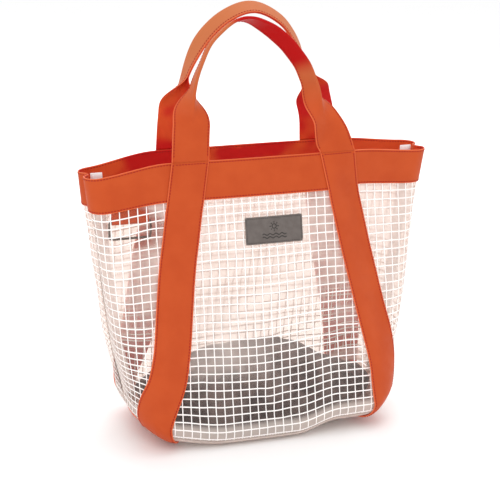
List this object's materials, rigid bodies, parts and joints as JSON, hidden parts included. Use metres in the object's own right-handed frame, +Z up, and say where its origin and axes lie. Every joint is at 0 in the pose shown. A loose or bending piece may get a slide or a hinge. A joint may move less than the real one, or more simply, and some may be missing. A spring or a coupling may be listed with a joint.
{
  "type": "beach bag",
  "caption": "Open-top beach tote of clear sheet with a white thread grid, orange coated-tape rim, body straps and grip handles, a small inner ring and a loose cloth pouch.",
  "frame": {"origin": "on the surface the bag stands on, under the middle of its base", "axes": "+Z up, +X along the bag's width towards its right as seen from the labelled front, -Y out of the labelled front"},
  "size_m": [0.43, 0.176, 0.5212],
  "materials": {
    "clear_mesh": "clear glossy sheet over a white thread grid",
    "orange_tape": "satin coated webbing",
    "white_binding": "woven tape",
    "grey_label": "matt",
    "grey_ring": "satin dark grey",
    "charcoal_cloth": "plain weave"
  },
  "bodies": {
    "bag_body": {"front_panel": "clear_mesh", "back_panel": "clear_mesh", "base_panel": "clear_mesh", "front_band": "orange_tape", "back_band": "orange_tape", "left_strap": "orange_tape", "right_strap": "orange_tape", "left_seam_binding": "white_binding", "right_seam_binding": "white_binding", "label_patch": "grey_label", "ring_tab": "orange_tape", "inner_pouch": "charcoal_cloth"},
    "front_handle": {"front_handle": "orange_tape"},
    "back_handle": {"back_handle": "orange_tape"},
    "ring": {"ring": "grey_ring"}
  },
  "joints": [
    {"name": "front_handle_fold", "type": "hinge", "parent": "bag_body", "child": "front_handle", "pos_m": [0, -0.0368, 0.3443], "axis": [1, 0, 0], "range_deg": [0, 140]},
    {"name": "back_handle_fold", "type": "hinge", "parent": "bag_body", "child": "back_handle", "pos_m": [0, 0.0368, 0.3443], "axis": [-1, 0, 0], "range_deg": [0, 155]},
    {"name": "ring_swing", "type": "hinge", "parent": "bag_body", "child": "ring", "pos_m": [-0.165, -0.03328, 0.27904], "axis": [1, 0, 0], "range_deg": [-12, 130]}
  ]
}
